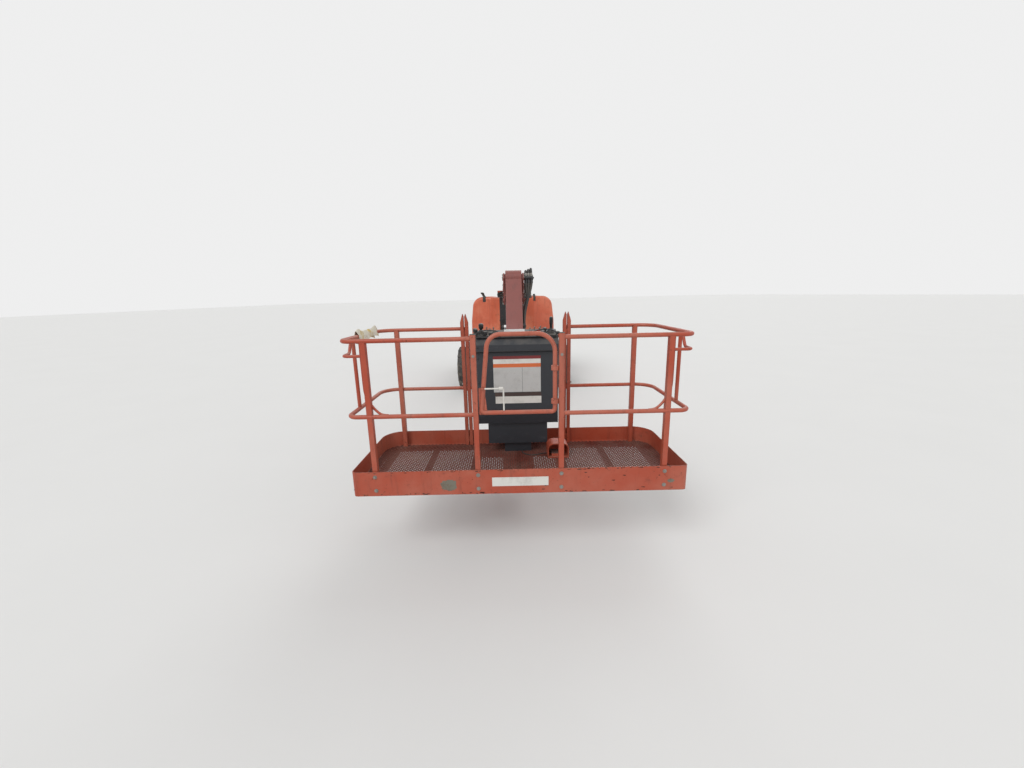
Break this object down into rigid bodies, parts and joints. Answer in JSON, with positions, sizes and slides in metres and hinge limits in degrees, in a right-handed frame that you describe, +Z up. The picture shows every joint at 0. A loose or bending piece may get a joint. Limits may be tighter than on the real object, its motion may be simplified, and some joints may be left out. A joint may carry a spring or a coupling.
{
  "type": "articulating boom lift",
  "caption": "Self-propelled articulating boom lift with a telescoping tower and main boom, a jib and a railed work platform, parked with its booms stowed.",
  "frame": {"origin": "on the ground under the turntable's swing axis", "axes": "+Z up; -Y towards the stowed platform; +X is the side seen on the right from the platform's end"},
  "size_m": [2.49, 8.9694, 2.3268],
  "materials": {
    "orange_paint": "satin",
    "frame_paint": "satin",
    "rim_paint": "satin",
    "tyre_rubber": "matt",
    "axle_iron": "matt",
    "ballast_paint": "satin",
    "hood_shell": "satin",
    "black_rubber": "matt",
    "black_plastic": "matt",
    "engine_iron": "matt",
    "tank_steel": "matt",
    "chrome_rod": "polished",
    "cylinder_paint": "satin",
    "floor_mesh": "worn",
    "rail_paint": "satin",
    "console_shell": "matt"
  },
  "bodies": {
    "chassis": {"chassis_frame": "frame_paint", "drive_axle": "axle_iron", "steer_axle": "axle_iron", "swing_bearing": "axle_iron"},
    "knuckle_left": {"knuckle_left": "axle_iron"},
    "knuckle_right": {"knuckle_right": "axle_iron"},
    "tie_rod": {"tie_rod": "axle_iron"},
    "turntable": {"turntable_frame": "frame_paint", "counterweight": "ballast_paint", "slot_wall_left": "frame_paint", "slot_wall_right": "frame_paint", "engine_block": "engine_iron", "fuel_tank": "tank_steel", "hydraulic_tank": "tank_steel", "ground_controls": "hood_shell", "battery_box": "hood_shell"},
    "hood_left": {"hood_left": "hood_shell", "hood_catch_left": "black_rubber"},
    "hood_right": {"hood_right": "hood_shell", "hood_catch_right": "black_rubber"},
    "tower_boom": {"tower_base": "orange_paint"},
    "tower_boom_fly": {"tower_fly": "orange_paint"},
    "upright": {"upright": "orange_paint"},
    "main_boom": {"main_boom_base": "orange_paint", "power_track_base": "black_plastic"},
    "main_boom_fly": {"main_boom_fly": "orange_paint", "power_track_run": "black_plastic"},
    "nose": {"nose_bracket": "orange_paint", "nose_hoses": "black_rubber"},
    "jib": {"jib": "orange_paint", "jib_hoses": "black_rubber"},
    "jib_link": {"jib_link": "orange_paint"},
    "jib_support": {"jib_support": "orange_paint"},
    "platform": {"platform_mast": "rail_paint", "toe_board": "rail_paint", "platform_deck": "floor_mesh", "platform_rails": "rail_paint", "console": "console_shell", "control_switches": "black_plastic", "joystick": "black_plastic", "foot_switch": "rail_paint", "foot_switch_lead": "black_rubber"},
    "gate": {"gate": "rail_paint"},
    "wheel_drive_left": {"tyre_drive_left": "tyre_rubber", "rim_drive_left": "rim_paint"},
    "wheel_drive_right": {"tyre_drive_right": "tyre_rubber", "rim_drive_right": "rim_paint"},
    "wheel_steer_left": {"tyre_steer_left": "tyre_rubber", "rim_steer_left": "rim_paint"},
    "wheel_steer_right": {"tyre_steer_right": "tyre_rubber", "rim_steer_right": "rim_paint"},
    "tower_cylinder_barrel": {"tower_cylinder_barrel": "cylinder_paint"},
    "tower_cylinder_rod": {"tower_cylinder_rod": "chrome_rod"},
    "main_cylinder_barrel": {"main_cylinder_barrel": "cylinder_paint"},
    "main_cylinder_rod": {"main_cylinder_rod": "chrome_rod"},
    "jib_cylinder_barrel": {"jib_cylinder_barrel": "cylinder_paint"},
    "jib_cylinder_rod": {"jib_cylinder_rod": "chrome_rod"}
  },
  "joints": [
    {"name": "drive_wheel_left_spin", "type": "hinge", "parent": "chassis", "child": "wheel_drive_left", "pos_m": [-1.022, -1.24, 0.457], "axis": [1, 0, 0], "continuous": true},
    {"name": "steer_wheel_left_spin", "type": "hinge", "parent": "knuckle_left", "child": "wheel_steer_left", "pos_m": [-1.022, 1.24, 0.457], "axis": [1, 0, 0], "continuous": true},
    {"name": "drive_wheel_right_spin", "type": "hinge", "parent": "chassis", "child": "wheel_drive_right", "pos_m": [1.022, -1.24, 0.457], "axis": [1, 0, 0], "continuous": true},
    {"name": "steer_wheel_right_spin", "type": "hinge", "parent": "knuckle_right", "child": "wheel_steer_right", "pos_m": [1.022, 1.24, 0.457], "axis": [1, 0, 0], "continuous": true},
    {"name": "steer", "type": "hinge", "parent": "chassis", "child": "knuckle_left", "pos_m": [-0.76, 1.24, 0.457], "axis": [0, 0, 1], "range_deg": [-32, 32]},
    {"name": "knuckle_right_turn", "type": "hinge", "parent": "chassis", "child": "knuckle_right", "pos_m": [0.76, 1.24, 0.457], "axis": [0, 0, 1], "range_deg": [-32, 32]},
    {"name": "tie_rod_slide", "type": "slide", "parent": "chassis", "child": "tie_rod", "axis": [1, 0, 0], "range_m": [-0.1015, 0.1015]},
    {"name": "swing", "type": "hinge", "parent": "chassis", "child": "turntable", "pos_m": [0, 0, 0.915], "axis": [0, 0, 1], "continuous": true},
    {"name": "hood_left_lift", "type": "hinge", "parent": "turntable", "child": "hood_left", "pos_m": [-0.265, -0.3, 1.958], "axis": [0, 1, 0], "range_deg": [0, 55]},
    {"name": "hood_right_lift", "type": "hinge", "parent": "turntable", "child": "hood_right", "pos_m": [0.265, -0.3, 1.958], "axis": [0, -1, 0], "range_deg": [0, 55]},
    {"name": "tower_lift", "type": "hinge", "parent": "turntable", "child": "tower_boom", "pos_m": [0, -1.05, 1.2], "axis": [1, 0, 0], "range_deg": [0, 67]},
    {"name": "tower_telescope", "type": "slide", "parent": "tower_boom", "child": "tower_boom_fly", "axis": [0, 0.9839, 0.1789], "range_m": [0, 1.5]},
    {"name": "upright_level", "type": "hinge", "parent": "tower_boom_fly", "child": "upright", "pos_m": [0, 1.15, 1.6], "axis": [1, 0, 0], "range_deg": [-67, 0]},
    {"name": "main_lift", "type": "hinge", "parent": "upright", "child": "main_boom", "pos_m": [0, 1.15, 2.16], "axis": [-1, 0, 0], "range_deg": [0, 73]},
    {"name": "main_telescope", "type": "slide", "parent": "main_boom", "child": "main_boom_fly", "axis": [0, -1, 0], "range_m": [0, 4]},
    {"name": "nose_level", "type": "hinge", "parent": "main_boom_fly", "child": "nose", "pos_m": [0, -4.9, 2.085], "axis": [-1, 0, 0], "range_deg": [-73, 0]},
    {"name": "jib_lift", "type": "hinge", "parent": "nose", "child": "jib", "pos_m": [0, -5.05, 2.2], "axis": [-1, 0, 0], "range_deg": [0, 124]},
    {"name": "jib_link_turn", "type": "hinge", "parent": "nose", "child": "jib_link", "pos_m": [0, -5.05, 1.94], "axis": [-1, 0, 0], "range_deg": [0, 124]},
    {"name": "platform_level", "type": "hinge", "parent": "jib", "child": "jib_support", "pos_m": [0, -5.90068, 0.6001], "axis": [-1, 0, 0], "range_deg": [-124, 0]},
    {"name": "platform_rotate", "type": "hinge", "parent": "jib_support", "child": "platform", "pos_m": [0, -6.08, 0.49], "axis": [0, 0, 1], "range_deg": [-90, 90]},
    {"name": "gate_swing", "type": "hinge", "parent": "platform", "child": "gate", "pos_m": [0.262, -7.2255, 1.46], "axis": [0, 0, -1], "range_deg": [0, 85]},
    {"name": "tower_cylinder_turn", "type": "hinge", "parent": "turntable", "child": "tower_cylinder_barrel", "pos_m": [0, 0.59, 1.2], "axis": [1, 0, 0], "range_deg": [-28.77, 0]},
    {"name": "tower_cylinder_stroke", "type": "slide", "parent": "tower_cylinder_barrel", "child": "tower_cylinder_rod", "axis": [0, -0.991, -0.1336], "range_m": [0, 0.31503]},
    {"name": "main_cylinder_turn", "type": "hinge", "parent": "upright", "child": "main_cylinder_barrel", "pos_m": [0, 0.96, 1.8], "axis": [-1, 0, 0], "range_deg": [0, 69.43]},
    {"name": "main_cylinder_stroke", "type": "slide", "parent": "main_cylinder_barrel", "child": "main_cylinder_rod", "axis": [0, -0.9993, 0.0364], "range_m": [0, 0.47882]},
    {"name": "jib_cylinder_turn", "type": "hinge", "parent": "nose", "child": "jib_cylinder_barrel", "pos_m": [0, -5.05, 1.94], "axis": [-1, 0, 0], "range_deg": [0, 123.79]},
    {"name": "jib_cylinder_stroke", "type": "slide", "parent": "jib_cylinder_barrel", "child": "jib_cylinder_rod", "axis": [0, -0.4817, -0.8764], "range_m": [0, 0.45933]}
  ],
  "couplings": [
    {"joint": "knuckle_right_turn", "follows": "steer", "ratio": 1},
    {"joint": "tie_rod_slide", "follows": "steer", "m_per_rad": -0.1803},
    {"joint": "upright_level", "follows": "tower_lift", "ratio": -1},
    {"joint": "tower_cylinder_turn", "follows": "tower_lift", "ratio": -0.42912},
    {"joint": "tower_cylinder_stroke", "follows": "tower_lift", "m_per_rad": 0.26927},
    {"joint": "nose_level", "follows": "main_lift", "ratio": -1},
    {"joint": "main_cylinder_turn", "follows": "main_lift", "ratio": 0.95065},
    {"joint": "main_cylinder_stroke", "follows": "main_lift", "m_per_rad": 0.37563},
    {"joint": "jib_link_turn", "follows": "jib_lift", "ratio": 1},
    {"joint": "platform_level", "follows": "jib_lift", "ratio": -1},
    {"joint": "jib_cylinder_turn", "follows": "jib_lift", "ratio": 0.99779},
    {"joint": "jib_cylinder_stroke", "follows": "jib_lift", "m_per_rad": 0.21213}
  ]
}
